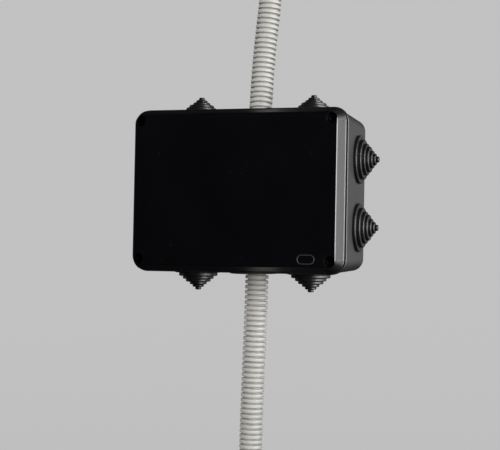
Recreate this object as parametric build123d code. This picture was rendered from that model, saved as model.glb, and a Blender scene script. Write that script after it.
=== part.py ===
from build123d import *
import math
import os

# Surface-mounted electrical junction box with stepped cable grommets and two runs of corrugated conduit.
# Millimetres. +Z up, +X right, the wall is the plane Y = 0 and the lid faces -Y.
# "Depth" below always means distance out from the wall, so a depth of 10 is Y = -10.

# ---------------------------------------------------------------- driving dimensions
WIDTH = 150.0
HEIGHT = 110.0
DEPTH = 70.0
CORNER_RADIUS = 10.0

WALL = 2.2
BACK_WALL = 2.5
COLLAR_DEPTH = 2.6
COLLAR_STEP = 0.7
BACK_TAPER = 2.8
BACK_EDGE_RADIUS = 1.5
FLOOR_HALF_WIDTH = 60.5
FLOOR_HALF_HEIGHT = 45.5

LID_DEPTH = 10.0
LID_WALL = 2.1
LID_FACE_THICKNESS = 2.0
LID_RIM_INSET = 0.4
LID_FACE_INSET = 4.4
LID_FACE_CORNER = 6.0
LID_EDGE_RADIUS = 1.2
GROOVE_WIDTH = 1.8

TONGUE_HALF_INSET = 5.0
TONGUE_WIDTH = 1.4
TONGUE_REACH = 3.5
LAND_INSET = 2.6
LAND_DEPTH = 5.0
LAND_CLEARANCE = 0.3
GASKET_WIDTH = 1.5
GASKET_HEIGHT = 2.2

WELL_X = 66.8
WELL_Z = 46.5
WELL_RADIUS = 3.65
WELL_TUBE_RADIUS = 5.6
WELL_FLOOR = 2.0
SEAL_AROUND_WELL = 7.2
BOSS_RADIUS = 5.6

SCREW_RADIUS = 2.0
SCREW_LENGTH = 22.0
SCREW_HEAD_RADIUS = 3.35
SCREW_HEAD_HEIGHT = 2.8
SCREW_SEAL_THICKNESS = 0.8
SCREW_SEAL_RADIUS = 3.45
RUNNING_CLEARANCE = 0.06

ENTRY_DEPTH = 22.5
ENTRY_RADIUS = 14.5
LONG_SIDE_ENTRIES = 41.0
SHORT_SIDE_ENTRIES = 23.0

FLANGE_RADIUS = 16.4
FLANGE_THICKNESS = 2.2
STEP_RADII = [13.5, 10.8, 8.7, 6.0, 4.0, 2.1]
STEP_TOPS = [4.6, 6.7, 8.7, 10.6, 12.4, 14.3]
LIP_RADIUS = 15.6
LIP_HEIGHT = 1.4
GROMMET_SKIN = 1.2

CONDUIT_RADIUS = 8.0
CONDUIT_BORE = 5.6
CONDUIT_FIT = 0.12
SLEEVE_THICKNESS = 1.4
SLEEVE_LENGTH = 6.0
UPPER_ROUTE = [
    (1.9, -22.1, 38.0),
    (1.4, -17.0, 72.0),
    (2.5, -13.4, 107.0),
    (5.6, -11.5, 141.2),
    (5.6, -11.5, 175.0),
]
LOWER_ROUTE = [
    (1.7, -19.6, -38.0),
    (0.9, -18.6, -82.0),
    (-0.9, -17.2, -132.0),
    (-2.4, -15.2, -184.0),
    (-2.4, -15.2, -216.0),
]

CLIP_HEIGHT = 12.0
CLIP_WALL = 2.1
CLIP_FOOT = 3.0
CLIP_LUG = 19.0
CLIP_HOLE_RADIUS = 2.25
CLIP_HOLE_OFFSET = 14.0
CLIP_MOUTH = 13.0
CLIP_FROM_LAST_CORNER = 9.5
COUPLER_LENGTH = 30.0
COUPLER_WALL = 1.9
COUPLER_STOP = 1.5
COUPLER_BEAD = 0.8

WALL_HOLES_X = 110.0
WALL_HOLES_Z = 80.0
WALL_HOLE_RADIUS = 2.4
WALL_PAD_RADIUS = 5.0
WALL_PAD_HEIGHT = 2.0

POLES = 3
POLE_PITCH = 14.0
POLE_WIDTH = 9.0
STRIP_HEIGHT = 22.0
STRIP_SLAB = 3.0
STRIP_DEPTH = 11.5
POST_RADIUS = 3.2
POST_HEIGHT = 4.0
TUBE_RADIUS = 2.6
TUBE_BORE = 1.7
TUBE_LENGTH = 18.0
TUBE_ABOVE_STRIP_BASE = 6.0
CLAMP_OFFSET = 5.0
CLAMP_RADIUS = 1.5
CLAMP_LENGTH = 6.5
CHIMNEY_RADIUS = 3.3
CHIMNEY_BORE = 1.9
CHIMNEY_HEIGHT = 1.5
FIXING_RADIUS = 1.4
FIXING_LENGTH = 6.0
FIXING_HEAD_RADIUS = 2.3
FIXING_HEAD_HEIGHT = 1.6

# ---------------------------------------------------------------- values worked out from them
LID_RIM = DEPTH - LID_DEPTH
COLLAR_FRONT = LID_RIM - GROOVE_WIDTH
COLLAR_BACK = COLLAR_FRONT - COLLAR_DEPTH
WALL_SLOPE = (BACK_TAPER - COLLAR_STEP) / COLLAR_BACK
WALL_TILT = math.degrees(math.atan(WALL_SLOPE))
CONDUIT_CLIP_RADIUS = CONDUIT_RADIUS + CONDUIT_FIT
WELLS = [(sx * WELL_X, sz * WELL_Z) for sz in (1, -1) for sx in (-1, 1)]
CORNER_NAMES = ["top_left", "top_right", "bottom_left", "bottom_right"]


def at_depth(depth):
    """The plane parallel to the wall, this far out from it, whose normal points away from the wall."""
    return Plane.XZ.offset(depth)


def outline(inset, radius):
    """The box's rounded outline, drawn in by inset on every side."""
    return RectangleRounded(WIDTH - 2 * inset, HEIGHT - 2 * inset, radius)


def slab(sketch, low, high):
    """A sketch extruded from one depth to another."""
    return extrude(at_depth(low) * sketch, amount=high - low)


def frustum(inset_low, radius_low, low, inset_high, radius_high, high):
    """A tapering block between two outlines at two depths."""
    lower = at_depth(low) * outline(inset_low, radius_low)
    upper = at_depth(high) * outline(inset_high, radius_high)
    return loft([lower, upper], ruled=True)


def rod(x, z, radius, low, high):
    """A cylinder square to the wall, from one depth to another."""
    return slab(Pos(x, z) * Circle(radius), low, high)


def around_wells(inset, radius, well_radius):
    """The outline with its corners scooped out around the four screw wells."""
    shape = outline(inset, radius)
    for x, z in WELLS:
        shape -= Pos(x, z) * Circle(well_radius)
    return shape


def seal_ring(outer_inset, width, outer_well_radius):
    """A ring of even width that passes inside the four screw wells."""
    outer = around_wells(outer_inset, CORNER_RADIUS - outer_inset, outer_well_radius)
    inner_inset = outer_inset + width
    inner_corner = max(CORNER_RADIUS - inner_inset, 1.0)
    return outer - around_wells(inner_inset, inner_corner, outer_well_radius + width)


def entry_plane(side, offset):
    """The plane on the outer wall at a cable entry: its origin on the wall face, its normal outwards."""
    inset = BACK_TAPER - WALL_SLOPE * ENTRY_DEPTH
    lean = math.sin(math.radians(WALL_TILT))
    out = math.cos(math.radians(WALL_TILT))
    if side in ("left", "right"):
        sign = 1 if side == "right" else -1
        origin = (sign * (WIDTH / 2 - inset), -ENTRY_DEPTH, offset)
        return Plane(origin=origin, x_dir=(0, 0, 1), z_dir=(sign * out, lean, 0))
    sign = 1 if side == "top" else -1
    origin = (offset, -ENTRY_DEPTH, sign * (HEIGHT / 2 - inset))
    return Plane(origin=origin, x_dir=(1, 0, 0), z_dir=(0, lean, sign * out))


CLOSED_ENTRIES = {
    "grommet_top_left": ("top", -LONG_SIDE_ENTRIES),
    "grommet_top_right": ("top", LONG_SIDE_ENTRIES),
    "grommet_bottom_left": ("bottom", -LONG_SIDE_ENTRIES),
    "grommet_bottom_right": ("bottom", LONG_SIDE_ENTRIES),
    "grommet_right_upper": ("right", SHORT_SIDE_ENTRIES),
    "grommet_right_lower": ("right", -SHORT_SIDE_ENTRIES),
    "grommet_left_upper": ("left", SHORT_SIDE_ENTRIES),
    "grommet_left_lower": ("left", -SHORT_SIDE_ENTRIES),
}
CONDUIT_ENTRIES = {"conduit_grommet_top": ("top", 0.0), "conduit_grommet_bottom": ("bottom", 0.0)}


# ---------------------------------------------------------------- box
def base_shell():
    """The open tray: tapering walls, a collar, the land the lid sits on, screw columns, pads and posts."""
    corner = CORNER_RADIUS
    body = frustum(BACK_TAPER, corner - 1.6, 0, COLLAR_STEP, corner - 0.4, COLLAR_BACK)
    back_edges = body.faces().sort_by(Axis.Y)[-1].edges()
    body = fillet(back_edges, BACK_EDGE_RADIUS)
    body += slab(outline(0, corner), COLLAR_BACK, COLLAR_FRONT)
    body += slab(outline(LAND_INSET, corner - LAND_INSET), COLLAR_BACK, LID_RIM)

    land_start = LID_RIM - LAND_DEPTH
    inner_back = BACK_TAPER + WALL - WALL_SLOPE * BACK_WALL
    inner_land = BACK_TAPER + WALL - WALL_SLOPE * land_start
    cavity = frustum(inner_back, corner - 3.6, BACK_WALL, inner_land, corner - 2.6, land_start)
    for x, z in WELLS:
        cavity -= rod(x, z, BOSS_RADIUS, BACK_WALL, land_start)
    land_inset = TONGUE_HALF_INSET - LAND_CLEARANCE
    land_well = SEAL_AROUND_WELL + GASKET_WIDTH - LAND_CLEARANCE
    mouth = around_wells(land_inset, corner - land_inset, land_well)
    body -= cavity
    body -= slab(mouth, land_start, LID_RIM)

    for x, z in WELLS:
        body -= rod(x, z, SCREW_RADIUS + RUNNING_CLEARANCE, LID_RIM - SCREW_LENGTH, LID_RIM)
    for sx in (-1, 1):
        for sz in (-1, 1):
            x, z = sx * WALL_HOLES_X / 2, sz * WALL_HOLES_Z / 2
            body += rod(x, z, WALL_PAD_RADIUS, BACK_WALL, BACK_WALL + WALL_PAD_HEIGHT)
            body -= rod(x, z, WALL_HOLE_RADIUS, 0, BACK_WALL + WALL_PAD_HEIGHT)
    for x in post_places():
        body += rod(x, 0, POST_RADIUS, BACK_WALL, BACK_WALL + POST_HEIGHT)
        body -= rod(x, 0, FIXING_RADIUS + RUNNING_CLEARANCE, BACK_WALL, BACK_WALL + POST_HEIGHT)
    for side, offset in list(CLOSED_ENTRIES.values()) + list(CONDUIT_ENTRIES.values()):
        hole = Cylinder(ENTRY_RADIUS, 4 * WALL)
        body -= entry_plane(side, offset) * hole
    return body


def base_parts():
    """The tray cut into its floor and its four walls, so that none of them bends around the wiring space."""
    whole = base_shell()
    x, z = FLOOR_HALF_WIDTH, FLOOR_HALF_HEIGHT
    row = Rectangle(2 * x, HEIGHT / 2 - z + 1)
    row_middle = (HEIGHT / 2 + z + 1) / 2
    floor_block = slab(Rectangle(2 * x, 2 * z), -1, COLLAR_BACK - 5)
    top_block = slab(Pos(0, row_middle) * row, -1, DEPTH)
    bottom_block = slab(Pos(0, -row_middle) * row, -1, DEPTH)
    ends = (whole - floor_block - top_block - bottom_block).solids().sort_by(Axis.X)
    return {
        "base_floor": (whole & floor_block).solid(),
        "base_wall_top": (whole & top_block).solid(),
        "base_wall_bottom": (whole & bottom_block).solid(),
        "base_wall_left": ends[0],
        "base_wall_right": ends[-1],
    }


def lid():
    """The cover: tapering skirt, recessed seal channel, tongue, and four screw wells."""
    face_height = DEPTH - LID_FACE_THICKNESS
    taper = (LID_FACE_INSET - LID_RIM_INSET) / LID_DEPTH
    rim_corner = CORNER_RADIUS - LID_RIM_INSET
    body = frustum(LID_RIM_INSET, rim_corner, LID_RIM, LID_FACE_INSET, LID_FACE_CORNER, DEPTH)
    face_edges = body.faces().sort_by(Axis.Y)[0].edges()
    body = fillet(face_edges, LID_EDGE_RADIUS)

    tongue_inner = TONGUE_HALF_INSET + TONGUE_WIDTH
    tongue_well = SEAL_AROUND_WELL + GASKET_WIDTH + TONGUE_WIDTH
    hollow = around_wells(tongue_inner, CORNER_RADIUS - tongue_inner, tongue_well)
    body -= slab(hollow, LID_RIM, face_height)

    seat = LID_RIM + GASKET_HEIGHT
    skirt_low = LID_RIM_INSET + LID_WALL
    skirt_high = skirt_low + taper * (seat - LID_RIM)
    channel = frustum(skirt_low, rim_corner - LID_WALL, LID_RIM, skirt_high, rim_corner - LID_WALL - 1, seat)
    keep = around_wells(TONGUE_HALF_INSET, CORNER_RADIUS - TONGUE_HALF_INSET, tongue_well - TONGUE_WIDTH)
    channel -= slab(keep, LID_RIM, seat)
    for x, z in WELLS:
        channel -= rod(x, z, WELL_TUBE_RADIUS, LID_RIM, seat)
    body -= channel

    tongue = seal_ring(TONGUE_HALF_INSET, TONGUE_WIDTH, SEAL_AROUND_WELL + GASKET_WIDTH)
    body += slab(tongue, LID_RIM - TONGUE_REACH, LID_RIM)
    for x, z in WELLS:
        body -= rod(x, z, WELL_RADIUS, LID_RIM + WELL_FLOOR, DEPTH)
        body -= rod(x, z, SCREW_RADIUS + 0.3, LID_RIM, DEPTH)
    return body


def lid_gasket():
    """The soft strip in the lid's channel, which presses on the base's land."""
    outer_inset = TONGUE_HALF_INSET - GASKET_WIDTH
    ring = seal_ring(outer_inset, GASKET_WIDTH - 0.1, SEAL_AROUND_WELL)
    return slab(ring, LID_RIM, LID_RIM + GASKET_HEIGHT)


# ---------------------------------------------------------------- lid screws
def lid_screw(x, z):
    """A pan-head screw with a cross recess; its shank is plain where the real one has a thread."""
    seat = LID_RIM + WELL_FLOOR + SCREW_SEAL_THICKNESS
    top = seat + SCREW_HEAD_HEIGHT
    head = rod(x, z, SCREW_HEAD_RADIUS, seat, top)
    rim_edge = head.faces().sort_by(Axis.Y)[0].edges()
    head = fillet(rim_edge, 1.2)
    shank = rod(x, z, SCREW_RADIUS, seat - SCREW_LENGTH, seat)
    tip = shank.faces().sort_by(Axis.Y)[-1].edges()
    shank = chamfer(tip, 0.8)
    recess = Pos(x, z) * (Rectangle(4.0, 0.9) + Rectangle(0.9, 4.0))
    return head + shank - slab(recess, top - 1.6, top)


def screw_seal(x, z):
    """The rubber ring under a lid screw's head, which also keeps the screw in the lid."""
    seat = LID_RIM + WELL_FLOOR
    ring = Circle(SCREW_SEAL_RADIUS) - Circle(SCREW_RADIUS + RUNNING_CLEARANCE)
    return slab(Pos(x, z) * ring, seat, seat + SCREW_SEAL_THICKNESS)


# ---------------------------------------------------------------- grommets
def revolved(points):
    """A closed outline of radius and height turned about its own height axis."""
    face = make_face(Polyline(*[(r, 0, h) for r, h in points], close=True))
    return revolve(face, axis=Axis.Z)


def neck_points(bore):
    """The flange's under side, the neck that fills the wall hole, and the lip behind the wall."""
    neck = ENTRY_RADIUS - 0.05
    return [
        (FLANGE_RADIUS, FLANGE_THICKNESS),
        (FLANGE_RADIUS, 0),
        (neck, 0),
        (neck, -WALL),
        (LIP_RADIUS, -WALL),
        (LIP_RADIUS - 0.8, -WALL - LIP_HEIGHT),
        (bore, -WALL - LIP_HEIGHT),
    ]


def closed_grommet(side, offset):
    """A stepped cone, closed at its tip and hollow behind, standing on its flange."""
    points = [(0, STEP_TOPS[-1])]
    for radius, top, below in zip(STEP_RADII[::-1], STEP_TOPS[::-1], (STEP_TOPS[::-1] + [FLANGE_THICKNESS])[1:]):
        points += [(radius, top), (radius, below)]
    points[-1] = (STEP_RADII[0], FLANGE_THICKNESS)
    bore = STEP_RADII[0] - GROMMET_SKIN
    points += neck_points(bore)
    points += [(bore, 1.0), (1.0, STEP_TOPS[-1] - 2.3), (0, STEP_TOPS[-1] - 2.3)]
    return entry_plane(side, offset) * revolved(points)


def conduit_grommet(side, offset, route):
    """A grommet cut open for the conduit: a flange, a web, and a sleeve turned inwards that grips it."""
    bore = STEP_RADII[0] - GROMMET_SKIN
    points = [(0, FLANGE_THICKNESS)] + neck_points(bore) + [(bore, 0), (0, 0)]
    body = entry_plane(side, offset) * revolved(points)
    start, end = Vector(*route[0]), Vector(*route[1])
    along = (end - start).normalized()
    sign = 1 if along.Z > 0 else -1
    outer_face = HEIGHT / 2 - BACK_TAPER + WALL_SLOPE * ENTRY_DEPTH + FLANGE_THICKNESS / 2
    middle = start + along * ((sign * outer_face - start.Z) / along.Z)
    inward = Plane(origin=(middle.X, middle.Y, middle.Z), z_dir=(-along.X, -along.Y, -along.Z))
    body += inward * extrude(Circle(CONDUIT_CLIP_RADIUS + SLEEVE_THICKNESS), amount=SLEEVE_LENGTH)
    drill = Cylinder(CONDUIT_CLIP_RADIUS, 6 * SLEEVE_LENGTH)
    return body - inward * drill


# ---------------------------------------------------------------- conduits and what holds them
def arc_radii(route):
    """For each corner, the largest arc that its two runs allow."""
    points = [Vector(*p) for p in route]
    radii = []
    for before, corner, after in zip(points, points[1:], points[2:]):
        run_in, run_out = corner - before, after - corner
        turn = math.radians(run_in.get_angle(run_out))
        radii.append(0.45 * min(run_in.length, run_out.length) / math.tan(turn / 2))
    return radii


def conduit(route):
    """A plain tube along straight runs joined by tangent arcs."""
    path = FilletPolyline(*route, radius=arc_radii(route))
    start = Plane(origin=path @ 0, z_dir=path % 0)
    outer = sweep(start * Circle(CONDUIT_RADIUS), path=path)
    inner = sweep(start * Circle(CONDUIT_BORE), path=path)
    tube = outer - inner
    section = math.pi * (CONDUIT_RADIUS**2 - CONDUIT_BORE**2)
    print("conduit: radii", [round(r) for r in arc_radii(route)], "length", round(path.length, 1))
    print("   volume over section times length:", round(tube.volume / (section * path.length), 4))
    return tube


def conduit_clip(route):
    """A snap-in clip on the wall: a foot with one screw hole, a pedestal, and an open ring."""
    x, y, corner = route[-2]
    away = 1 if corner > 0 else -1
    middle = corner + away * CLIP_FROM_LAST_CORNER
    centre = -y
    outer = CONDUIT_CLIP_RADIUS + CLIP_WALL
    across = Plane(origin=(x, 0, middle - CLIP_HEIGHT / 2), x_dir=(1, 0, 0), z_dir=(0, 0, 1))
    foot_middle = (CLIP_LUG - outer) / 2
    profile = Pos(foot_middle, -CLIP_FOOT / 2) * Rectangle(CLIP_LUG + outer, CLIP_FOOT)
    profile += Pos(0, -centre / 2) * Rectangle(0.9 * outer, centre)
    profile += Pos(0, -centre) * Circle(outer)
    profile -= Pos(0, -centre) * Circle(CONDUIT_CLIP_RADIUS)
    profile -= Pos(0, -centre - outer) * Rectangle(CLIP_MOUTH, 2 * outer * 0.6)
    body = extrude(across * profile, amount=CLIP_HEIGHT)
    hole = rod(x + CLIP_HOLE_OFFSET, middle, CLIP_HOLE_RADIUS, 0, CLIP_FOOT)
    return body - hole


def conduit_coupler(route):
    """A sleeve with a stop in its middle: the conduit fills one half, the other half is open."""
    x, y, end = route[-1]
    away = 1 if end > 0 else -1
    outer = CONDUIT_CLIP_RADIUS + COUPLER_WALL
    half = COUPLER_LENGTH / 2
    points = [
        (CONDUIT_CLIP_RADIUS, -half),
        (outer + COUPLER_BEAD, -half),
        (outer + COUPLER_BEAD, -half + 2.5),
        (outer, -half + 3.5),
        (outer, half - 3.5),
        (outer + COUPLER_BEAD, half - 2.5),
        (outer + COUPLER_BEAD, half),
        (CONDUIT_CLIP_RADIUS, half),
        (CONDUIT_CLIP_RADIUS, COUPLER_STOP / 2),
        (CONDUIT_BORE + 0.6, COUPLER_STOP / 2),
        (CONDUIT_BORE + 0.6, -COUPLER_STOP / 2),
        (CONDUIT_CLIP_RADIUS, -COUPLER_STOP / 2),
    ]
    return Pos(x, y, end + away * COUPLER_STOP / 2) * revolved(points)


# ---------------------------------------------------------------- terminal strip
def pole_places():
    """The x positions of the poles."""
    return [(i - (POLES - 1) / 2) * POLE_PITCH for i in range(POLES)]


def post_places():
    """The x positions of the posts, between neighbouring poles."""
    poles = pole_places()
    return [(a + b) / 2 for a, b in zip(poles, poles[1:])]


STRIP_BACK = BACK_WALL + POST_HEIGHT
TUBE_DEPTH = STRIP_BACK + TUBE_ABOVE_STRIP_BASE
TUBE_PLANE = Plane(origin=(0, -TUBE_DEPTH, -TUBE_LENGTH / 2), x_dir=(1, 0, 0), z_dir=(0, 0, 1))


def terminal_strip():
    """The moulded strip: a slab, one housing per pole with a wire tunnel, and a chimney over each screw."""
    length = (POLES - 1) * POLE_PITCH + POLE_WIDTH
    front = STRIP_BACK + STRIP_DEPTH
    body = slab(RectangleRounded(length, STRIP_HEIGHT - 4, 1.0), STRIP_BACK, STRIP_BACK + STRIP_SLAB)
    for x in pole_places():
        body += slab(Pos(x, 0) * RectangleRounded(POLE_WIDTH, STRIP_HEIGHT, 1.0), STRIP_BACK, front)
        for z in (-CLAMP_OFFSET, CLAMP_OFFSET):
            body += rod(x, z, CHIMNEY_RADIUS, front, front + CHIMNEY_HEIGHT)
    for x in pole_places():
        tunnel = Pos(x, -TUBE_DEPTH, 0) * Cylinder(TUBE_RADIUS + 0.05, STRIP_HEIGHT + 2)
        body -= tunnel
        for z in (-CLAMP_OFFSET, CLAMP_OFFSET):
            body -= rod(x, z, CHIMNEY_BORE, TUBE_DEPTH, front + CHIMNEY_HEIGHT)
    for x in post_places():
        body -= rod(x, 0, FIXING_RADIUS + 0.3, STRIP_BACK, STRIP_BACK + STRIP_SLAB)
    return body


def terminal_tube(x):
    """A brass tube that joins the wires of one pole, with a threaded hole for each clamping screw."""
    ring = Circle(TUBE_RADIUS) - Circle(TUBE_BORE)
    body = Pos(x, 0, 0) * extrude(TUBE_PLANE * ring, amount=TUBE_LENGTH)
    for z in (-CLAMP_OFFSET, CLAMP_OFFSET):
        body -= rod(x, z, CLAMP_RADIUS + RUNNING_CLEARANCE, TUBE_DEPTH, TUBE_DEPTH + 2 * TUBE_RADIUS)
    return body


def terminal_screw(x, z):
    """A slotted clamping screw, standing just clear of the tube's far wall."""
    tip = TUBE_DEPTH + 0.3
    body = rod(x, z, CLAMP_RADIUS, tip, tip + CLAMP_LENGTH)
    body = chamfer(body.faces().sort_by(Axis.Y)[-1].edges(), 0.3)
    slot = Pos(x, z) * Rectangle(2 * CLAMP_RADIUS + 1, 0.5)
    return body - slab(slot, tip + CLAMP_LENGTH - 0.9, tip + CLAMP_LENGTH)


def strip_screws():
    """The two screws that hold the strip on its posts."""
    under_head = STRIP_BACK + STRIP_SLAB
    group = []
    for x in post_places():
        head = rod(x, 0, FIXING_HEAD_RADIUS, under_head, under_head + FIXING_HEAD_HEIGHT)
        shank = rod(x, 0, FIXING_RADIUS, under_head - FIXING_LENGTH, under_head)
        slot = slab(Pos(x, 0) * Rectangle(0.5, 4), under_head + FIXING_HEAD_HEIGHT - 0.8, under_head + 2)
        group.append((head + shank - slot).solid())
    return Compound(children=group)


# ---------------------------------------------------------------- write every piece
pieces = {**base_parts(), "lid": lid(), "lid_gasket": lid_gasket()}
for corner_name, (well_x, well_z) in zip(CORNER_NAMES, WELLS):
    pieces["lid_screw_" + corner_name] = lid_screw(well_x, well_z)
    pieces["screw_seal_" + corner_name] = screw_seal(well_x, well_z)
for name, entry in CLOSED_ENTRIES.items():
    pieces[name] = closed_grommet(*entry)
for name, entry in CONDUIT_ENTRIES.items():
    route_here = UPPER_ROUTE if entry[0] == "top" else LOWER_ROUTE
    pieces[name] = conduit_grommet(*entry, route_here)
for name, route in (("upper", UPPER_ROUTE), ("lower", LOWER_ROUTE)):
    pieces["conduit_" + name] = conduit(route)
    pieces["conduit_clip_" + name] = conduit_clip(route)
    pieces["conduit_coupler_" + name] = conduit_coupler(route)
pieces["terminal_strip"] = terminal_strip()
pieces["strip_screws"] = strip_screws()
for number, pole_x in enumerate(pole_places(), start=1):
    pieces[f"terminal_tube_{number}"] = terminal_tube(pole_x)
    pieces[f"terminal_screw_{number}_upper"] = terminal_screw(pole_x, CLAMP_OFFSET)
    pieces[f"terminal_screw_{number}_lower"] = terminal_screw(pole_x, -CLAMP_OFFSET)

os.makedirs("parts", exist_ok=True)
for name, shape in pieces.items():
    export_step(shape, f"parts/{name}.step")
print(len(pieces), "pieces")
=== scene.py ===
import math

import bmesh
import bpy
from mathutils import Matrix, Vector


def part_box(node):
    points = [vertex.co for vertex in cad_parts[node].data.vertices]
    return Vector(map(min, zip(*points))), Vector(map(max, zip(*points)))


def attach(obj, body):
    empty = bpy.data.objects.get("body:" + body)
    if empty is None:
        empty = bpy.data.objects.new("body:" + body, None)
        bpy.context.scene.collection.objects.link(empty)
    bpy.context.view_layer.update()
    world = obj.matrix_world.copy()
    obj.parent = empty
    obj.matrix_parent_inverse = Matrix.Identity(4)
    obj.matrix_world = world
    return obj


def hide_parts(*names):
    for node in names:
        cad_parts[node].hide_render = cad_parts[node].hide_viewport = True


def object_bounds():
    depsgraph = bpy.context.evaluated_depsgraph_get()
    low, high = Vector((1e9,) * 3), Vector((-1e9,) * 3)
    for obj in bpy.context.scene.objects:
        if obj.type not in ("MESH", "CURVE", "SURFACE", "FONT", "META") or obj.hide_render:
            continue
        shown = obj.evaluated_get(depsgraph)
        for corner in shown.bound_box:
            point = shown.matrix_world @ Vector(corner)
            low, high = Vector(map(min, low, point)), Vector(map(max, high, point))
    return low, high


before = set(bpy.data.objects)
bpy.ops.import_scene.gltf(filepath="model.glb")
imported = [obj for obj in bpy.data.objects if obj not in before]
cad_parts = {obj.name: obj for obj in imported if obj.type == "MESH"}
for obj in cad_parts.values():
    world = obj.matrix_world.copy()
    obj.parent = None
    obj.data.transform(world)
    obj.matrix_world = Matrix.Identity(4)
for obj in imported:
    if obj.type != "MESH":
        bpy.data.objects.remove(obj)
cad_low, cad_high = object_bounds()
scene = bpy.context.scene
MM = 0.001


# ---------------------------------------------------------------- camera and conduit runs
CAMERA_PLACE = Vector((0.3000, -0.9178, -0.0504))
CAMERA_YAW = math.radians(18.72)
CAMERA_PITCH = math.radians(1.73)
CAMERA_ROLL = math.radians(1.105)
CAMERA_LENS = 98.3

UPPER_RUN = [
    (0.0019, -0.0221, 0.0380),
    (0.0014, -0.0170, 0.0720),
    (0.0025, -0.0134, 0.1070),
    (0.0056, -0.0115, 0.1412),
    (0.0056, -0.0115, 0.1750),
]
LOWER_RUN = [
    (0.0017, -0.0196, -0.0380),
    (0.0009, -0.0186, -0.0820),
    (-0.0009, -0.0172, -0.1320),
    (-0.0024, -0.0152, -0.1840),
    (-0.0024, -0.0152, -0.2160),
]
CONDUIT_RADIUS = 8.0 * MM


def add_camera():
    """The camera stands to the right of the box and a little below it, looking slightly up."""
    data = bpy.data.cameras.new("camera")
    data.lens = CAMERA_LENS
    data.sensor_width = 36.0
    data.clip_start = 0.01
    data.clip_end = 50.0
    camera = bpy.data.objects.new("camera", data)
    scene.collection.objects.link(camera)
    level = Matrix.Rotation(CAMERA_YAW, 4, "Z") @ Matrix.Rotation(math.pi / 2 + CAMERA_PITCH, 4, "X")
    camera.matrix_world = Matrix.Translation(CAMERA_PLACE) @ level @ Matrix.Rotation(CAMERA_ROLL, 4, "Z")
    scene.camera = camera


def line_points(route, name):
    """Evenly sampled points of the smooth line that a run of conduit follows."""
    curve = bpy.data.curves.new(name, "CURVE")
    curve.dimensions = "3D"
    curve.resolution_u = 24
    spline = curve.splines.new("NURBS")
    spline.points.add(len(route) - 1)
    for point, place in zip(spline.points, route):
        point.co = (*place, 1.0)
    spline.order_u = 3
    spline.use_endpoint_u = True
    holder = bpy.data.objects.new(name, curve)
    mesh = bpy.data.meshes.new_from_object(holder)
    points = [v.co.copy() for v in mesh.vertices]
    bpy.data.meshes.remove(mesh)
    bpy.data.objects.remove(holder)
    bpy.data.curves.remove(curve)
    return points


# ---------------------------------------------------------------- shader building
class Value:
    """A shader socket that can be used in ordinary arithmetic."""

    def __init__(self, tree, socket):
        self.tree = tree
        self.socket = socket

    def math(self, operation, *terms):
        node = self.tree.nodes.new("ShaderNodeMath")
        node.operation = operation
        for place, term in zip(node.inputs, terms):
            if isinstance(term, Value):
                self.tree.links.new(term.socket, place)
            else:
                place.default_value = term
        return Value(self.tree, node.outputs[0])

    def __add__(self, other):
        return self.math("ADD", self, other)

    def __radd__(self, other):
        return self.math("ADD", other, self)

    def __sub__(self, other):
        return self.math("SUBTRACT", self, other)

    def __rsub__(self, other):
        return self.math("SUBTRACT", other, self)

    def __mul__(self, other):
        return self.math("MULTIPLY", self, other)

    def __rmul__(self, other):
        return self.math("MULTIPLY", other, self)

    def __truediv__(self, other):
        return self.math("DIVIDE", self, other)

    def __pow__(self, other):
        return self.math("POWER", self, other)

    def smaller(self, other):
        return self.math("MINIMUM", self, other)

    def larger(self, other):
        return self.math("MAXIMUM", self, other)

    def size(self):
        return self.math("ABSOLUTE", self)

    def fraction(self):
        return self.math("FRACT", self)


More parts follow.
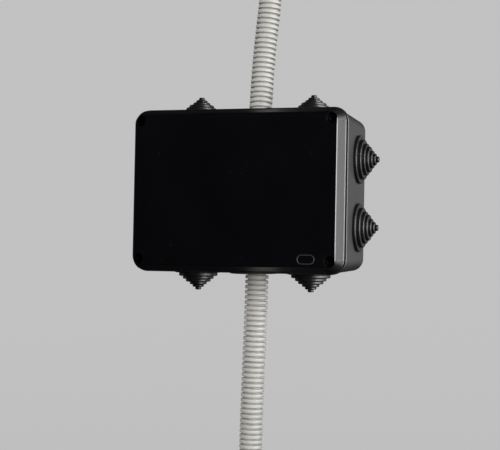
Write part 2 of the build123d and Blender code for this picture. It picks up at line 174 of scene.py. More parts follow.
class Finish:
    """A material being built: one method adds any node, and shade() ends it."""

    def __init__(self, name):
        self.material = bpy.data.materials.new(name)
        self.material.use_nodes = True
        self.tree = self.material.node_tree
        self.tree.nodes.clear()

    def node(self, kind, settings=None, inputs=None, output=0):
        """A node of this kind: its settings are set first, then its sockets get values or links."""
        node = self.tree.nodes.new(kind)
        for key, value in (settings or {}).items():
            if key == "stops":
                ramp = node.color_ramp
                while len(ramp.elements) < len(value):
                    ramp.elements.new(0.5)
                for element, (place, colour) in zip(ramp.elements, value):
                    element.position = place
                    element.color = (*colour, 1.0) if isinstance(colour, tuple) else (colour, colour, colour, 1.0)
            else:
                setattr(node, key, value)
        for key, value in (inputs or {}).items():
            if isinstance(value, Value):
                self.tree.links.new(value.socket, node.inputs[key])
            else:
                node.inputs[key].default_value = value
        self.last = node
        return Value(self.tree, node.outputs[output]) if len(node.outputs) else None

    def place(self):
        """The point on the surface, in metres."""
        return self.node("ShaderNodeTexCoord", output="Object")

    def split(self, vector):
        """The three parts of a vector."""
        first = self.node("ShaderNodeSeparateXYZ", inputs={"Vector": vector})
        node = self.last
        return first, Value(self.tree, node.outputs[1]), Value(self.tree, node.outputs[2])

    def stretched(self, vector, scale, turn=(0.0, 0.0, 0.0)):
        return self.node("ShaderNodeMapping", inputs={"Vector": vector, "Scale": scale, "Rotation": turn})

    def noise(self, vector, scale, detail=3.0, rough=0.55, distortion=0.0):
        inputs = {"Vector": vector, "Scale": scale, "Detail": detail, "Roughness": rough, "Distortion": distortion}
        return self.node("ShaderNodeTexNoise", inputs=inputs)

    def specks(self, vector, scale):
        """The distance to the nearest of many scattered points, in cells."""
        return self.node("ShaderNodeTexVoronoi", inputs={"Vector": vector, "Scale": scale, "Randomness": 1.0})

    def between(self, value, low, high, start=0.0, end=1.0):
        """Maps low..high smoothly to start..end, and holds it there outside."""
        inputs = {"Value": value, "From Min": low, "From Max": high, "To Min": start, "To Max": end}
        return self.node("ShaderNodeMapRange", {"interpolation_type": "SMOOTHSTEP"}, inputs)

    def blend(self, mask, first, second):
        """first where mask is 0 and second where it is 1."""
        node = self.tree.nodes.new("ShaderNodeMix")
        node.data_type = "RGBA"
        for key, value in ((0, mask), (6, first), (7, second)):
            if isinstance(value, Value):
                self.tree.links.new(value.socket, node.inputs[key])
            elif key == 0:
                node.inputs[key].default_value = value
            else:
                node.inputs[key].default_value = (*value, 1.0)
        return Value(self.tree, node.outputs[2])

    def relief(self, height, distance, strength=1.0, under=None):
        """A bump from a height between 0 and 1 and the depth, in metres, that it stands for."""
        inputs = {"Height": height, "Distance": distance, "Strength": strength}
        if under is not None:
            inputs["Normal"] = under
        return self.node("ShaderNodeBump", inputs=inputs)

    def shade(self, **sockets):
        """Ends the material with a Principled shader; names are its sockets with _ for a space."""
        inputs = {}
        for key, value in sockets.items():
            if isinstance(value, tuple) and len(value) == 3 and "Radius" not in key:
                value = (*value, 1.0)
            inputs[key.replace("_", " ")] = value
        shader = self.node("ShaderNodeBsdfPrincipled", inputs=inputs)
        self.node("ShaderNodeOutputMaterial", inputs={"Surface": shader})
        return self.material


# ---------------------------------------------------------------- finishes
def lid_black():
    """Glossy black moulded plastic: near mirror on the face, satin on the skirt, with dust and fine scuffs."""
    f = Finish("lid_black")
    place = f.place()
    x, y, z = f.split(place)
    face = f.between(y, -69.2 * MM, -69.9 * MM)
    smudge = f.noise(place, 28.0, 4.0, 0.6, 0.4)
    wipe = f.noise(f.stretched(place, (18.0, 18.0, 260.0), (0.0, 0.5, 0.0)), 1.0, 3.0)
    hairs = f.noise(f.stretched(place, (1900.0, 60.0, 160.0), (0.0, 0.9, 0.0)), 1.0, 2.0)
    patch = f.between(f.noise(place, 24.0, 2.0), 0.52, 0.66)
    scratch = f.between(hairs, 0.70, 0.76) * patch
    dust = f.between(f.specks(place, 210.0), 0.05, 0.028)
    lone = f.between(f.noise(place, 60.0, 1.0), 0.56, 0.62)
    speck = dust * lone
    grain = f.noise(place, 2400.0, 2.0)
    peel = f.noise(place, 260.0, 2.0)
    black = f.blend(smudge, (0.0010, 0.0010, 0.0014), (0.0024, 0.0024, 0.0031))
    skirt = f.blend(f.noise(place, 90.0), (0.0028, 0.0028, 0.0032), (0.0042, 0.0042, 0.0046))
    colour = f.blend(face, skirt, black)
    colour = f.blend(speck * 0.8, colour, (0.16, 0.15, 0.14))
    colour = f.blend(scratch * 0.12, colour, (0.09, 0.09, 0.09))
    shine = 0.13 + smudge * 0.09 + wipe * 0.05 + scratch * 0.2
    satin = 0.34 + grain * 0.08
    rough = face * shine + (1 - face) * satin + speck * 0.4
    soft = f.relief(peel, 0.000008, 0.3)
    fine = f.relief(grain, 0.000012, 0.5, soft)
    return f.shade(Base_Color=colour, Roughness=rough, Normal=fine, IOR=1.5)


def shell_black():
    """Satin black moulded plastic with a fine spark-eroded grain and a little dust."""
    f = Finish("shell_black")
    place = f.place()
    grain = f.noise(place, 3200.0, 3.0, 0.7)
    drift = f.noise(place, 45.0, 3.0)
    flow = f.noise(f.stretched(place, (30.0, 160.0, 30.0)), 1.0, 3.0)
    dust = f.between(f.specks(place, 260.0), 0.06, 0.03) * f.between(f.noise(place, 70.0, 1.0), 0.5, 0.6)
    colour = f.blend(drift, (0.0080, 0.0080, 0.0090), (0.0120, 0.0120, 0.0132))
    colour = f.blend(dust * 0.5, colour, (0.14, 0.135, 0.13))
    rough = 0.36 + drift * 0.08 + flow * 0.06 + grain * 0.05
    return f.shade(Base_Color=colour, Roughness=rough, Normal=f.relief(grain, 0.00004, 0.6), IOR=1.5)


def grommet_rubber():
    """Soft black rubber: a faint grey bloom, fine turned rings, and two moulding seams."""
    f = Finish("grommet_rubber")
    place = f.place()
    around, along, none = f.split(f.node("ShaderNodeUVMap", {"uv_map": "turned"}))
    bloom = f.noise(place, 130.0, 4.0, 0.65)
    pores = f.noise(place, 2800.0, 3.0, 0.7)
    rings = (along * 46.0).fraction()
    ring = f.between((rings - 0.5).size(), 0.36, 0.5)
    seam = f.between(((around * 2.0 + 0.5).fraction() - 0.5).size(), 0.010, 0.003)
    lint = f.between(f.specks(place, 420.0), 0.07, 0.035) * f.between(f.noise(place, 110.0, 1.0), 0.5, 0.6)
    colour = f.blend(bloom, (0.0045, 0.0045, 0.0052), (0.0085, 0.0084, 0.0090))
    colour = f.blend(lint * 0.4, colour, (0.17, 0.16, 0.15))
    colour = f.blend(seam * 0.8, colour, (0.0010, 0.0010, 0.0010))
    rough = 0.33 + bloom * 0.12 + pores * 0.03 + seam * 0.4
    first = f.relief(ring, 0.00003, 0.25)
    second = f.relief(seam, 0.00012, 0.8, first)
    third = f.relief(pores, 0.00003, 0.5, second)
    return f.shade(Base_Color=colour, Roughness=rough, Normal=third, IOR=1.5, Specular_IOR_Level=0.30)


def seal_rubber():
    """Matte foamed rubber with open pores."""
    f = Finish("seal_rubber")
    place = f.place()
    pores = f.specks(place, 2600.0)
    drift = f.noise(place, 240.0, 4.0)
    colour = f.blend(drift, (0.030, 0.030, 0.031), (0.050, 0.050, 0.051))
    rough = 0.72 + drift * 0.15
    return f.shade(Base_Color=colour, Roughness=rough, Normal=f.relief(pores, 0.00008, 0.7), IOR=1.45)


def conduit_plastic():
    """Warm off-white plastic with painted shade in its grooves, dirt added there where a dirt noise is high, and a
    little grey where hands have rubbed it.
    """
    f = Finish("conduit_plastic")
    place = f.place()
    around, along, none = f.split(f.node("ShaderNodeUVMap", {"uv_map": "turned"}))
    depth = f.node("ShaderNodeAttribute", {"attribute_name": "groove"}, output="Fac")
    mottle = f.noise(place, 60.0, 4.0, 0.6)
    draw = f.noise(f.stretched(place, (420.0, 420.0, 14.0)), 1.0, 3.0)
    grain = f.noise(place, 2600.0, 2.0)
    dirt = f.between(f.noise(place, 190.0, 4.0, 0.7), 0.42, 0.72)
    speck = f.between(f.specks(place, 330.0), 0.06, 0.03) * f.between(f.noise(place, 80.0, 1.0), 0.52, 0.6)
    colour = f.blend(mottle, (0.515, 0.505, 0.475), (0.570, 0.560, 0.531))
    # Painted shade: each groove is darkened by its depth, with dirt added where the dirt noise is high.
    colour = f.blend(depth * (0.45 + dirt * 0.4), colour, (0.24, 0.225, 0.20))
    colour = f.blend(dirt * 0.10, colour, (0.40, 0.37, 0.33))
    colour = f.blend(speck * 0.5, colour, (0.12, 0.11, 0.10))
    rough = 0.42 + mottle * 0.08 + depth * 0.2 + draw * 0.05
    seam = f.between(((around * 2.0 + 0.4).fraction() - 0.5).size(), 0.010, 0.004)
    first = f.relief(seam, 0.00010, 0.6)
    return f.shade(
        Base_Color=colour,
        Roughness=rough,
        Normal=f.relief(grain + draw, 0.00003, 0.4, first),
        IOR=1.52,
        Specular_IOR_Level=0.28,
        Subsurface_Weight=0.08,
        Subsurface_Radius=(0.9, 0.7, 0.5),
        Subsurface_Scale=0.0012,
    )


def fitting_plastic():
    """Cooler grey-white moulded plastic for the clips and couplers."""
    f = Finish("fitting_plastic")
    place = f.place()
    mottle = f.noise(place, 90.0, 4.0, 0.6)
    grain = f.noise(place, 2200.0, 3.0)
    dirt = f.between(f.noise(place, 260.0, 4.0, 0.7), 0.52, 0.8)
    colour = f.blend(mottle, (0.56, 0.545, 0.50), (0.63, 0.615, 0.575))
    colour = f.blend(dirt * 0.35, colour, (0.34, 0.32, 0.29))
    rough = 0.46 + mottle * 0.1 + dirt * 0.1
    return f.shade(Base_Color=colour, Roughness=rough, Normal=f.relief(grain, 0.00003, 0.5), IOR=1.5)


def metal(name, light, dark, rough, streaks, relief):
    """Metal with turning marks and a mottled tarnish."""
    f = Finish(name)
    place = f.place()
    tarnish = f.noise(place, 420.0, 5.0, 0.65)
    marks = f.noise(f.stretched(place, streaks), 1.0, 3.0)
    spots = f.between(f.noise(place, 900.0, 3.0), 0.60, 0.72)
    colour = f.blend(tarnish, light, dark)
    colour = f.blend(spots * 0.4, colour, tuple(0.4 * c for c in dark))
    shine = rough + tarnish * 0.14 + marks * 0.10 + spots * 0.15
    return f.shade(Base_Color=colour, Metallic=1.0, Roughness=shine, Normal=f.relief(marks, relief, 0.5))


def terminal_polyamide():
    """Milky natural polyamide, slightly translucent."""
    f = Finish("terminal_polyamide")
    place = f.place()
    cloud = f.noise(place, 140.0, 4.0, 0.6)
    grain = f.noise(place, 2600.0, 2.0)
    colour = f.blend(cloud, (0.70, 0.69, 0.62), (0.78, 0.77, 0.71))
    rough = 0.34 + cloud * 0.12
    return f.shade(
        Base_Color=colour,
        Roughness=rough,
        Normal=f.relief(grain, 0.00002, 0.4),
        IOR=1.53,
        Subsurface_Weight=0.2,
        Subsurface_Radius=(1.0, 0.95, 0.8),
        Subsurface_Scale=0.0015,
    )


def frosted():
    """The lid's own plastic with a frosted surface, coloured a grey far lighter than the lid's black as a painted
    highlight, so it looks dark grey beside the gloss.
    """
    f = Finish("frosted")
    place = f.place()
    grain = f.noise(place, 3800.0, 3.0, 0.7)
    painted_highlight_tone = f.noise(place, 420.0, 3.0)
    # Painted highlight: both greys are far lighter than the lid's own black plastic, so that the raised line reads
    # light; the noise only varies the tone at random.
    colour = f.blend(painted_highlight_tone, (0.022, 0.022, 0.023), (0.048, 0.048, 0.049))
    return f.shade(Base_Color=colour, Roughness=0.55 + grain * 0.15, Normal=f.relief(grain, 0.00003, 0.6), IOR=1.5)


LID_BLACK = lid_black()
FROSTED_PAINTED_HIGHLIGHT = frosted()
SHELL_BLACK = shell_black()
GROMMET_RUBBER = grommet_rubber()
SEAL_RUBBER = seal_rubber()
CONDUIT_PLASTIC = conduit_plastic()
FITTING_PLASTIC = fitting_plastic()
BLACK_OXIDE = metal("black_oxide", (0.060, 0.060, 0.062), (0.032, 0.031, 0.030), 0.32, (900, 900, 900), 0.00002)
ZINC = metal("zinc_plate", (0.62, 0.62, 0.58), (0.44, 0.44, 0.42), 0.24, (1200, 300, 1200), 0.00002)
BRASS = metal("brass", (0.74, 0.56, 0.27), (0.56, 0.40, 0.18), 0.22, (500, 500, 2400), 0.00002)
POLYAMIDE = terminal_polyamide()


# ---------------------------------------------------------------- mesh helpers
def new_piece(name, bm, body, finish, replaces=()):
    """Turns a bmesh into a piece with its finish, riding on a body."""
    mesh = bpy.data.meshes.new(name)
    bm.to_mesh(mesh)
    bm.free()
    mesh.materials.append(finish)
    mesh.polygons.foreach_set("use_smooth", [True] * len(mesh.polygons))
    mesh.set_sharp_from_angle(angle=math.radians(38))
    piece = bpy.data.objects.new(name, mesh)
    scene.collection.objects.link(piece)
    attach(piece, body)
    if replaces:
        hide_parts(*replaces)
    return piece


def merged_copy(node):
    """A CAD node's mesh as one connected surface with flat areas joined up."""
    bm = bmesh.new()
    bm.from_mesh(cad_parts[node].data)
    for layer in list(bm.loops.layers.uv):
        bm.loops.layers.uv.remove(layer)
    bmesh.ops.remove_doubles(bm, verts=bm.verts, dist=0.002 * MM)
    bmesh.ops.dissolve_limit(bm, angle_limit=math.radians(0.4), verts=bm.verts, edges=bm.edges)
    return bm


def softened(piece, width, segments=2, angle=35):
    """Small rounded edges, as a mould leaves them."""
    bevel = piece.modifiers.new("edges", "BEVEL")
    bevel.width = width
    bevel.segments = segments
    bevel.limit_method = "ANGLE"
    bevel.angle_limit = math.radians(angle)
    bevel.use_clamp_overlap = True
    bevel.harden_normals = False
    shading = piece.modifiers.new("shading", "WEIGHTED_NORMAL")
    shading.keep_sharp = True
    return piece


def refined(node, body, finish, width=0.2 * MM, segments=2, name=None):
    """A CAD node's own shape with softened edges and its finish."""
    piece = new_piece(name or node + "_piece", merged_copy(node), body, finish, (node,))
    return softened(piece, width, segments)


def turned(bm, points, steps, wrap=1.0):
    """Spins an outline of (radius, height) round the Z axis into a closed solid with a UV map of turn and height."""
    verts = [bm.verts.new((max(r, 0.0), 0.0, h)) for r, h in points]
    edges = [bm.edges.new(pair) for pair in zip(verts, verts[1:])]
    if points[0][0] > 1e-6:
        edges.append(bm.edges.new((verts[-1], verts[0])))
    bmesh.ops.spin(
        bm,
        geom=verts + edges,
        cent=(0, 0, 0),
        axis=(0, 0, 1),
        dvec=(0, 0, 0),
        angle=2 * math.pi,
        steps=steps,
        use_merge=True,
        use_duplicate=False,
    )
    bmesh.ops.remove_doubles(bm, verts=bm.verts, dist=0.001 * MM)
    bmesh.ops.recalc_face_normals(bm, faces=bm.faces)
    layer = bm.loops.layers.uv.new("turned")
    for face in bm.faces:
        middle = face.calc_center_median()
        base = math.atan2(middle.y, middle.x)
        for loop in face.loops:
            turn = math.atan2(loop.vert.co.y, loop.vert.co.x)
            if math.hypot(loop.vert.co.x, loop.vert.co.y) < 1e-6:
                turn = base
            turn -= 2 * math.pi * round((turn - base) / (2 * math.pi))
            loop[layer].uv = (turn / (2 * math.pi) * wrap, loop.vert.co.z / (20 * MM))


def rounded_steps(radii, tops, floor, edge):
    """The outline of a stepped cone from its tip down, each step's outer corner well rounded."""
    points = [(0.0, tops[-1] - 0.25), (0.5, tops[-1] - 0.2), (0.9, tops[-1])]
    levels = list(tops[::-1]) + [floor]
    for index, radius in enumerate(radii[::-1]):
        top, below = levels[index], levels[index + 1]
        turn = min(edge, (radius - points[-1][0]) * 0.8)
        for step in range(5):
            angle = math.radians(90 - 22.5 * step)
            points.append((radius - turn + turn * math.cos(angle), top - turn + turn * math.sin(angle)))
        points.append((radius - 0.10, below + 0.30))
        points.append((radius - 0.28, below + 0.12))
        points.append((radius - 0.22, below))
    return points


def rounded_loop(bm, half_x, half_z, radius, depth, segments=10, middle=(0.0, 0.0)):
    """A rounded rectangle's outline at a depth from the wall (mm); returns its edges."""
    made = bmesh.ops.create_grid(bm, x_segments=1, y_segments=1, size=MM)
    corners = made["verts"]
    bmesh.ops.scale(bm, verts=corners, vec=(half_x, half_z, 1.0))
    face = corners[0].link_faces[0]
    bmesh.ops.bevel(
        bm,
        geom=corners,
        affect="VERTICES",
        offset=radius * MM,
        offset_type="OFFSET",
        segments=segments,
        profile=0.5,
        material=-1,
    )
    face = max((f for f in bm.faces if all(abs(v.co.z) < 1e-9 for v in f.verts)), key=lambda f: len(f.verts))
    turn = Matrix.Rotation(math.pi / 2, 4, "X")
    shift = Matrix.Translation((middle[0] * MM, -depth * MM, middle[1] * MM))
    bmesh.ops.transform(bm, matrix=shift @ turn, verts=face.verts)
    edges = list(face.edges)
    bmesh.ops.delete(bm, geom=[face], context="FACES_ONLY")
    return edges


def hoop(bm, sections, half_x, half_z, radius, segments=10, middle=(0.0, 0.0), closed=True):
    """A band round a rounded rectangle: each section point is (outward offset, depth) in mm."""
    centre = Vector((middle[0] * MM, 0.0, middle[1] * MM))
    inner_x, inner_z = (half_x - radius) * MM, (half_z - radius) * MM

    def settle(verts, out, depth):
        for vert in verts:
            x, z = vert.co.x - centre.x, vert.co.z - centre.z
            core = Vector((max(-inner_x, min(inner_x, x)), 0.0, max(-inner_z, min(inner_z, z))))
            away = (Vector((x, 0.0, z)) - core).normalized()
            vert.co = centre + core + away * (radius + out) * MM
            vert.co.y = -depth * MM

    edges = rounded_loop(bm, half_x, half_z, radius, sections[0][1], segments, middle)
    settle({v for e in edges for v in e.verts}, *sections[0])
    for out, depth in sections[1:] + (sections[:1] if closed else []):
        made = bmesh.ops.extrude_edge_only(bm, edges=edges)["geom"]
        verts = {item for item in made if isinstance(item, bmesh.types.BMVert)}
        edges = [item for item in made if isinstance(item, bmesh.types.BMEdge) and set(item.verts) <= verts]
        settle(verts, out, depth)
    bmesh.ops.remove_doubles(bm, verts=bm.verts, dist=0.0005 * MM)
    bmesh.ops.recalc_face_normals(bm, faces=bm.faces)


# ---------------------------------------------------------------- conduit
RIB_PITCH = 3.5
RIB_LAND = 2.35
GROOVE_DROP = 1.75
CONDUIT_SKIN = 0.45
CONDUIT_SIDES = 64


def rib_outline(length):
    """Half the conduit's section: the ribbed outside from one end to the other, then back along the inside."""
    radius = CONDUIT_RADIUS / MM
    count = int(length / RIB_PITCH)
    pitch = length / count
    land = RIB_LAND * pitch / RIB_PITCH
    outside = []
    for rib in range(count):
        start = rib * pitch
        low = start + (pitch - land) / 2
        high = low + land
        outside += [(radius - GROOVE_DROP, start + 0.02), (radius - GROOVE_DROP, low - 0.24)]
        outside += [(radius - GROOVE_DROP + 0.20, low - 0.08), (radius - 0.50, low + 0.02)]
        outside += [(radius - 0.20, low + 0.12), (radius - 0.05, low + 0.35), (radius, low + 0.7)]
        outside += [(radius, high - 0.7), (radius - 0.05, high - 0.35), (radius - 0.20, high - 0.12)]
        outside += [(radius - 0.50, high - 0.02), (radius - GROOVE_DROP + 0.20, high + 0.08)]
        outside += [(radius - GROOVE_DROP, high + 0.24)]
    outside.append((radius - GROOVE_DROP, length))
    inside = []
    for r, h in outside[::-1]:
        inside.append((r - CONDUIT_SKIN, h))
    return [(r * MM, h * MM) for r, h in outside + inside]


def corrugated(name, route):
    """A run of ribbed conduit: turned straight, then laid along its line."""
    line = line_points(route, name + "_line")
    marks = [0.0]
    for a, b in zip(line, line[1:]):
        marks.append(marks[-1] + (b - a).length)
    length = marks[-1]
    bm = bmesh.new()
    turned(bm, rib_outline(length / MM), CONDUIT_SIDES)
    # How deep each point lies in a groove, which the conduit finish uses for painted shade in the grooves and for
    # roughness.
    groove = bm.verts.layers.float.new("groove")
    up = Vector((0.0, -1.0, 0.0))
    for vert in bm.verts:
        radius = math.hypot(vert.co.x, vert.co.y)
        vert[groove] = min(1.0, max(0.0, (CONDUIT_RADIUS - radius) / (GROOVE_DROP * MM)))
        along = min(max(vert.co.z, 0.0), length)
        index = max(i for i, mark in enumerate(marks[:-1]) if mark <= along + 1e-9)
        share = (along - marks[index]) / (marks[index + 1] - marks[index])
        middle = line[index].lerp(line[index + 1], share)
        before = line[min(index + 1, len(line) - 1)] - line[index]
        after = line[min(index + 2, len(line) - 1)] - line[min(index + 1, len(line) - 2)]
        ahead = before.normalized().lerp(after.normalized(), share).normalized()
        across = up.cross(ahead).normalized()
        third = ahead.cross(across)
        vert.co = middle + across * vert.co.x + third * vert.co.y
    bmesh.ops.recalc_face_normals(bm, faces=bm.faces)
    piece = new_piece(name + "_ribbed", bm, "base", CONDUIT_PLASTIC, (name,))
    return piece


add_camera()
clip_upper = refined("conduit_clip_upper", "base", FITTING_PLASTIC, 0.3 * MM, 3)
clip_lower = refined("conduit_clip_lower", "base", FITTING_PLASTIC, 0.3 * MM, 3)
coupler_upper = refined("conduit_coupler_upper", "base", FITTING_PLASTIC, 0.3 * MM, 3)
coupler_lower = refined("conduit_coupler_lower", "base", FITTING_PLASTIC, 0.3 * MM, 3)
BASE_NODES = [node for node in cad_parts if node.startswith("base_")]
corrugated("conduit_upper", UPPER_RUN)
corrugated("conduit_lower", LOWER_RUN)

# ---------------------------------------------------------------- box
COLLAR_FRONT = 58.2 * MM
COLLAR_SLOPE = 0.6 * MM
FLOOR_HALF_WIDTH = 60.5 * MM
FLOOR_HALF_HEIGHT = 45.5 * MM


def on_a_cut(face):
    """Whether a face lies in one of the planes where the tray's five nodes meet."""
    halves = ((0, FLOOR_HALF_WIDTH), (2, FLOOR_HALF_HEIGHT))
    planes = [(axis, sign * half) for axis, half in halves for sign in (-1, 1)]
    return any(all(abs(vert.co[axis] - plane) < 0.003 * MM for vert in face.verts) for axis, plane in planes)


def on_collar_edge(vert):
    """Whether a vertex lies on the outer front edge of the tray's collar."""
    core = Vector((max(-65 * MM, min(65 * MM, vert.co.x)), vert.co.y, max(-45 * MM, min(45 * MM, vert.co.z))))
    return abs(vert.co.y + COLLAR_FRONT) < 0.01 * MM and (vert.co - core).length > 9.9 * MM


def base_moulding():
    """The tray as it is moulded: its five nodes as one surface, its collar sloping a little to a rounded edge."""
    bm = bmesh.new()
    for node in BASE_NODES:
        bm.from_mesh(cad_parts[node].data)
    for layer in list(bm.loops.layers.uv):
        bm.loops.layers.uv.remove(layer)
    bmesh.ops.remove_doubles(bm, verts=bm.verts, dist=0.004 * MM)
    bmesh.ops.delete(bm, geom=[face for face in bm.faces if on_a_cut(face)], context="FACES")
    bmesh.ops.dissolve_limit(bm, angle_limit=math.radians(0.4), verts=bm.verts, edges=bm.edges)
    collar_edges = [edge for edge in bm.edges if all(on_collar_edge(vert) for vert in edge.verts)]
    for vert in {vert for edge in collar_edges for vert in edge.verts}:
        vert.co.y += COLLAR_SLOPE
    bmesh.ops.bevel(
        bm,
        geom=collar_edges,
        affect="EDGES",
        offset=0.55 * MM,
        offset_type="OFFSET",
        segments=4,
        profile=0.5,
        material=-1,
        clamp_overlap=True,
    )
    piece = new_piece("base_moulding", bm, "base", SHELL_BLACK, BASE_NODES)
    return softened(piece, 0.35 * MM, 3)


base_moulding()


def lid_moulding():
    """The lid, its rim drawn in a little so that the groove below it stays open and dark."""
    bm = merged_copy("lid")
    for vert in bm.verts:
        if vert.co.y > -60.6 * MM and max(abs(vert.co.x) - 20 * MM, abs(vert.co.z)) > 53.0 * MM:
            core = Vector((max(-65 * MM, min(65 * MM, vert.co.x)), 0.0, max(-45 * MM, min(45 * MM, vert.co.z))))
            away = Vector((vert.co.x, 0.0, vert.co.z)) - core
            if away.length > 8.8 * MM:
                vert.co -= away.normalized() * 0.35 * MM
    return softened(new_piece("lid_moulding", bm, "lid", LID_BLACK, ("lid",)), 0.25 * MM)


lid_moulding()
refined("lid_gasket", "lid", SEAL_RUBBER, 0.4 * MM, 3)

LID_BACK_FACE = 68.0


def lid_trim():
    """The rounded bead along the lid's rim."""
    bm = bmesh.new()
    bead = [(-0.9, 60.02), (-0.3, 60.02), (-0.05, 60.14), (0.06, 60.45), (0.02, 60.85), (-0.25, 61.15), (-0.9, 61.4)]
    hoop(bm, bead, 74.3, 54.3, 9.3, 12)
    return new_piece("lid_trim", bm, "lid", LID_BLACK)


def lid_mark():
    """The plain oval by one corner: a low raised line with a frosted top, its grey a painted highlight."""
    bm = bmesh.new()
    oval = [(-0.2, 69.9), (-0.2, 70.06), (-0.1, 70.15), (0.1, 70.15), (0.2, 70.06), (0.2, 69.9)]
    hoop(bm, oval, 5.7, 2.9, 2.8, 14, (51.0, -45.4))
    return new_piece("lid_mark", bm, "lid", FROSTED_PAINTED_HIGHLIGHT)


def lid_inside():
    """Ejector marks and low stiffening ribs behind the lid's face."""
    bm = bmesh.new()
    turn = Matrix.Rotation(math.pi / 2, 4, "X")
    for x in (-45, 0, 45):
        for z in (-34, 34):
            place = Matrix.Translation((x * MM, -(LID_BACK_FACE - 0.1) * MM, z * MM))
            bmesh.ops.create_cone(
                bm,
                cap_ends=True,
                segments=40,
                radius1=3.0 * MM,
                radius2=2.9 * MM,
                depth=0.3 * MM,
                matrix=place @ turn,
            )
    for half_x, half_z in ((58.0, 0.5), (0.5, 40.0)):
        hoop(bm, [(0.0, 68.1), (0.0, 67.2), (-0.2, 67.0)], half_x, half_z, 0.45, 3, closed=False)
    return new_piece("lid_inside", bm, "lid", SHELL_BLACK)


lid_trim()
lid_mark()
lid_inside()

# ---------------------------------------------------------------- grommets
STEP_RADII = [13.5, 10.8, 8.7, 6.0, 4.0, 2.1]
STEP_TOPS = [4.6, 6.7, 8.7, 10.6, 12.4, 14.3]
FLANGE_RADIUS = 16.4
FLANGE_TOP = 2.2
NECK_RADIUS = 14.45
LIP_RADIUS = 15.6
WALL = 2.2
LIP_HEIGHT = 1.4
WALL_TILT = math.atan(2.1 / 55.6)
CONE_BORE = 12.2


def cone_outline():
    """The stepped cone, its flange, neck and lip, and the hollow behind."""
    points = rounded_steps(STEP_RADII, STEP_TOPS, FLANGE_TOP, 0.75)
    for step in range(5):
        angle = math.radians(90 - 22.5 * step)
        points.append((FLANGE_RADIUS - 0.7 + 0.7 * math.cos(angle), FLANGE_TOP - 0.7 + 0.7 * math.sin(angle)))
    points += [(FLANGE_RADIUS, 0.35), (FLANGE_RADIUS - 0.12, 0.12), (FLANGE_RADIUS - 0.4, 0.0)]
    points += [(NECK_RADIUS, 0.0), (NECK_RADIUS, -WALL), (LIP_RADIUS - 0.2, -WALL), (LIP_RADIUS, -WALL - 0.3)]
    points += [(LIP_RADIUS - 0.8, -WALL - LIP_HEIGHT), (CONE_BORE + 0.3, -WALL - LIP_HEIGHT)]
    points += [(CONE_BORE, -WALL - LIP_HEIGHT + 0.3), (CONE_BORE, 1.2)]
    for radius, top in zip(STEP_RADII[1:], STEP_TOPS):
        points += [(radius - 0.4, top - 1.0), (radius - 0.8, top - 0.4)]
    points.append((0.0, STEP_TOPS[-1] - 1.3))
    return [(r * MM, h * MM) for r, h in points]


def grommet_frame(node):
    """Where a closed grommet stands: from the middle of its flange on the wall, along its own axis."""
    low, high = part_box(node)
    middle = (low + high) / 2
    lean, out = math.sin(WALL_TILT), math.cos(WALL_TILT)
    reach = (STEP_TOPS[-1] * out + STEP_RADII[-1] * lean) * MM
    side = node.split("_")[1]
    if side in ("left", "right"):
        sign = 1 if side == "right" else -1
        edge = high.x if sign > 0 else low.x
        place = Vector((edge - sign * reach, middle.y, middle.z))
        axis = Vector((sign * out, lean, 0.0))
        across = Vector((0.0, 0.0, 1.0))
    else:
        sign = 1 if side == "top" else -1
        edge = high.z if sign > 0 else low.z
        place = Vector((middle.x, middle.y, edge - sign * reach))
        axis = Vector((0.0, lean, sign * out))
        across = Vector((1.0, 0.0, 0.0))
    third = axis.cross(across)
    matrix = Matrix((across, third, axis)).transposed().to_4x4()
    return Matrix.Translation(place) @ matrix


SEAM_TURN = {"grommet_right_upper": 84.0}


def closed_grommet(node):
    """A stepped cone; one of them stands turned so that its moulding seams face forwards."""
    bm = bmesh.new()
    turned(bm, cone_outline(), 96)
    seam = Matrix.Rotation(math.radians(SEAM_TURN.get(node, 0.0)), 4, "Z")
    bmesh.ops.transform(bm, matrix=seam, verts=bm.verts)
    bmesh.ops.transform(bm, matrix=grommet_frame(node), verts=bm.verts)
    return new_piece(node + "_cone", bm, "base", GROMMET_RUBBER, (node,))


CLOSED = [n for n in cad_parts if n.startswith("grommet_")]
for grommet in CLOSED:
    closed_grommet(grommet)
for grommet in ("conduit_grommet_top", "conduit_grommet_bottom"):
    refined(grommet, "base", SEAL_RUBBER, 0.3 * MM, 3)

# ---------------------------------------------------------------- screws and terminals
CORNERS = ("top_left", "top_right", "bottom_left", "bottom_right")
SCREW_HEAD = 2.8
SCREW_LENGTH = 22.0
THREAD_PITCH = 1.8
THREAD_CREST = 2.0
THREAD_ROOT = 1.45
THREAD_STEPS = 28


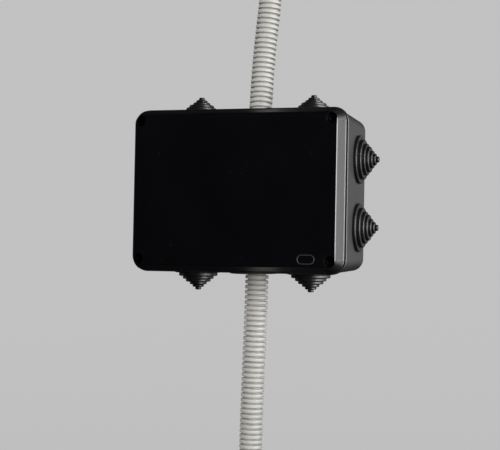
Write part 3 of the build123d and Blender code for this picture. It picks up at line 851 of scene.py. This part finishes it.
def thread_ridge(bm, matrix):
    """A right-handed ridge round the screw's shank, running out to nothing at both ends."""
    tip, end = -(SCREW_HEAD + SCREW_LENGTH - 1.2), -(SCREW_HEAD + 3.4)
    steps = int((end - tip) / THREAD_PITCH * THREAD_STEPS)
    section = [(1.35, -0.50), (1.90, -0.10), (THREAD_CREST, 0.0), (1.90, 0.10), (1.35, 0.50)]
    fresh = bmesh.new()
    verts = [fresh.verts.new((r * MM, 0.0, (h + tip) * MM)) for r, h in section]
    edges = [fresh.edges.new(pair) for pair in zip(verts, verts[1:] + verts[:1])]
    bmesh.ops.spin(
        fresh,
        geom=verts + edges,
        cent=(0, 0, 0),
        axis=(0, 0, 1),
        dvec=(0, 0, THREAD_PITCH / THREAD_STEPS * MM),
        angle=2 * math.pi * steps / THREAD_STEPS,
        steps=steps,
        use_merge=False,
        use_duplicate=False,
    )
    bmesh.ops.holes_fill(fresh, edges=[edge for edge in fresh.edges if edge.is_boundary])
    for vert in fresh.verts:
        radius = math.hypot(vert.co.x, vert.co.y)
        room = min(vert.co.z / MM - tip + 0.5, end - vert.co.z / MM + 0.5) / 2.4
        wanted = min(radius, (THREAD_ROOT + max(0.0, min(1.0, room)) * (THREAD_CREST - THREAD_ROOT)) * MM)
        vert.co.x *= wanted / radius
        vert.co.y *= wanted / radius
    bmesh.ops.recalc_face_normals(fresh, faces=fresh.faces)
    bmesh.ops.transform(fresh, matrix=matrix, verts=fresh.verts)
    mesh = bpy.data.meshes.new("ridge")
    fresh.to_mesh(mesh)
    fresh.free()
    bm.from_mesh(mesh)
    bpy.data.meshes.remove(mesh)


def lid_screw(corner):
    """A pan-head screw with a cross recess: its shank is drawn in to the thread's root and the ridge added."""
    node = "lid_screw_" + corner
    low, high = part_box(node)
    axis = Vector(((low.x + high.x) / 2, 0.0, (low.z + high.z) / 2))
    bm = merged_copy(node)
    for vert in bm.verts:
        out = Vector((vert.co.x, 0.0, vert.co.z)) - axis
        if vert.co.y > low.y + (SCREW_HEAD - 0.02) * MM and 0.5 * MM < out.length < (THREAD_CREST + 0.1) * MM:
            vert.co -= out.normalized() * (THREAD_CREST - THREAD_ROOT) * MM
    matrix = Matrix.Translation((axis.x, low.y, axis.z)) @ Matrix.Rotation(math.pi / 2, 4, "X")
    thread_ridge(bm, matrix)
    piece = new_piece(node + "_piece", bm, "screw_" + corner, BLACK_OXIDE, (node,))
    return softened(piece, 0.1 * MM, 2, 50)


for corner in CORNERS:
    lid_screw(corner)
    refined("screw_seal_" + corner, "seal_" + corner, SEAL_RUBBER, 0.2 * MM)
refined("terminal_strip", "base", POLYAMIDE, 0.25 * MM)
refined("strip_screws", "base", ZINC, 0.1 * MM)
for pole in (1, 2, 3):
    refined(f"terminal_tube_{pole}", "base", BRASS, 0.1 * MM)
    for side in ("upper", "lower"):
        refined(f"terminal_screw_{pole}_{side}", f"clamp_{pole}_{side}", ZINC, 0.08 * MM)


# ---------------------------------------------------------------- stage and light
def add_stage():
    """A pale bowl: a floor under the object that turns up into a wall all round, far away."""
    f = Finish("stage_pale")
    tone = f.noise(f.place(), 0.8, 2.0)
    colour = f.blend(tone, (0.30, 0.30, 0.30), (0.32, 0.32, 0.32))
    glow = (0.80, 0.80, 0.80)
    paint = f.shade(
        Base_Color=colour,
        Roughness=0.9,
        Specular_IOR_Level=0.1,
        Emission_Color=glow,
        Emission_Strength=0.62,
    )
    floor = cad_low.z - 0.40
    bm = bmesh.new()
    outline = [(0.0, 0.0), (3.2, 0.0), (3.7, 0.12), (4.1, 0.45), (4.3, 1.0), (4.3, 4.5), (4.1, 5.0), (0.0, 5.2)]
    verts = [bm.verts.new((r, 0.0, h + floor)) for r, h in outline]
    edges = [bm.edges.new(pair) for pair in zip(verts, verts[1:])]
    bmesh.ops.spin(
        bm,
        geom=verts + edges,
        cent=(0, 0, 0),
        axis=(0, 0, 1),
        dvec=(0, 0, 0),
        angle=2 * math.pi,
        steps=64,
        use_merge=True,
        use_duplicate=False,
    )
    bmesh.ops.remove_doubles(bm, verts=bm.verts, dist=0.0001)
    bmesh.ops.recalc_face_normals(bm, faces=bm.faces)
    bmesh.ops.reverse_faces(bm, faces=bm.faces)
    mesh = bpy.data.meshes.new("stage_bowl")
    bm.to_mesh(mesh)
    bm.free()
    mesh.materials.append(paint)
    mesh.polygons.foreach_set("use_smooth", [True] * len(mesh.polygons))
    bowl = bpy.data.objects.new("stage_bowl", mesh)
    bowl.visible_glossy = False
    bowl.visible_diffuse = False
    scene.collection.objects.link(bowl)


def add_light(name, place, target, width, height, power, mirrored=True, lit=True):
    """A soft rectangular light at a place, facing a target; it may be left out of mirror or matt shading."""
    data = bpy.data.lights.new(name, "AREA")
    data.shape = "RECTANGLE"
    data.size = width
    data.size_y = height
    data.energy = power
    light = bpy.data.objects.new(name, data)
    light.location = place
    light.rotation_euler = (Vector(target) - Vector(place)).to_track_quat("-Z", "Y").to_euler()
    light.visible_glossy = mirrored
    light.visible_diffuse = lit
    scene.collection.objects.link(light)


add_stage()
MIDDLE = (0.0, -0.03, 0.0)
add_light("key_right", (1.4, -0.65, 0.15), MIDDLE, 0.9, 1.4, 22.0)
add_light("sheen_right", (1.5, -0.35, 0.15), MIDDLE, 1.7, 1.4, 95.0, lit=False)
add_light("right_back", (1.5, 0.80, 0.05), MIDDLE, 1.3, 1.5, 9.0, lit=False)
add_light("back_soft", (0.9, 1.4, 0.1), MIDDLE, 1.0, 1.2, 2.0)
add_light("top_soft", (0.6, 0.3, 1.7), MIDDLE, 1.0, 1.0, 0.3)
add_light("fill_left", (-1.7, 0.1, 0.2), MIDDLE, 0.5, 1.2, 1.5)
add_light("fill_front", (-0.5, -1.8, 0.4), MIDDLE, 1.5, 1.5, 28.0, mirrored=False)
add_light("fill_back", (0.3, 1.8, 0.6), MIDDLE, 1.5, 1.5, 14.0, mirrored=False)
world = bpy.data.worlds.new("room")
world.use_nodes = True
world.node_tree.nodes["Background"].inputs["Color"].default_value = (0.007, 0.007, 0.0076, 1.0)
world.node_tree.nodes["Background"].inputs["Strength"].default_value = 1.0
scene.world = world
scene.view_settings.view_transform = "Standard"
